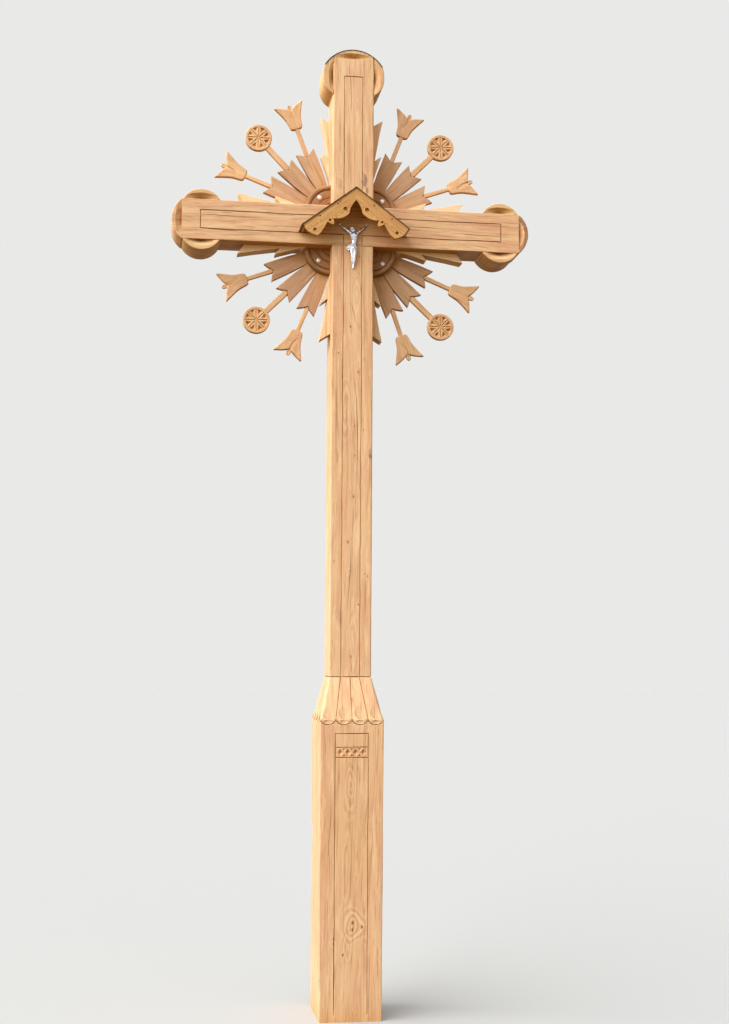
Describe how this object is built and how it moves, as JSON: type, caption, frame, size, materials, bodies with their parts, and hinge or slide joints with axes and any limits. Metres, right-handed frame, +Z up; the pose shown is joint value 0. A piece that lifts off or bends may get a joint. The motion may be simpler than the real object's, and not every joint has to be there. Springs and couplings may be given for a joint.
{
  "type": "wayside cross shrine",
  "caption": "Tall carved oak wayside cross with a wide plinth, a lapped crossbeam with lobed ends, a sunburst of carved rays, a small gable roof and a cast figure.",
  "frame": {"origin": "centre of the foot of the post, on the ground", "axes": "+Z up along the post, the carved front with the roof and the figure looks to -Y, +X to the right seen from the front"},
  "size_m": [1.56, 0.3435, 4.1285],
  "materials": {
    "oak_post": "oiled, planed",
    "oak_beam": "oiled, planed",
    "oak_lobes": "oiled, carved",
    "oak_rings": "oiled, carved",
    "oak_rays": "oiled, sawn and carved",
    "oak_heads": "oiled, carved",
    "oak_teeth": "oiled, carved",
    "oak_roof": "oiled",
    "oak_barge": "oiled, carved",
    "dark_sheet": "thin dark brown coated sheet",
    "zinc_bolts": "bright zinc",
    "silver_cast": "bright cast metal"
  },
  "bodies": {
    "root": {"post": "oak_post", "crossbeam": "oak_beam", "top_lobes": "oak_lobes", "left_arm_lobes": "oak_lobes", "right_arm_lobes": "oak_lobes", "top_cap_sheet": "dark_sheet", "ring_upper_left": "oak_rings", "ring_upper_right": "oak_rings", "ring_lower_left": "oak_rings", "ring_lower_right": "oak_rings", "ring_bolts": "zinc_bolts", "ray_ul_arm": "oak_rays", "ray_ul_mid": "oak_rays", "ray_ul_shaft": "oak_rays", "ray_ur_arm": "oak_rays", "ray_ur_mid": "oak_rays", "ray_ur_shaft": "oak_rays", "ray_ll_arm": "oak_rays", "ray_ll_mid": "oak_rays", "ray_ll_shaft": "oak_rays", "ray_lr_arm": "oak_rays", "ray_lr_mid": "oak_rays", "ray_lr_shaft": "oak_rays", "tulip_ul_arm": "oak_heads", "rosette_ul": "oak_heads", "tulip_ul_shaft": "oak_heads", "tulip_ur_arm": "oak_heads", "rosette_ur": "oak_heads", "tulip_ur_shaft": "oak_heads", "tulip_ll_arm": "oak_heads", "rosette_ll": "oak_heads", "tulip_ll_shaft": "oak_heads", "tulip_lr_arm": "oak_heads", "rosette_lr": "oak_heads", "tulip_lr_shaft": "oak_heads", "teeth_top": "oak_teeth", "teeth_bottom": "oak_teeth", "teeth_left": "oak_teeth", "teeth_right": "oak_teeth", "roof_board_left": "oak_roof", "roof_board_right": "oak_roof", "bargeboard_left": "oak_barge", "bargeboard_right": "oak_barge", "roof_sheet": "dark_sheet", "corpus": "silver_cast"}
  },
  "joints": []
}
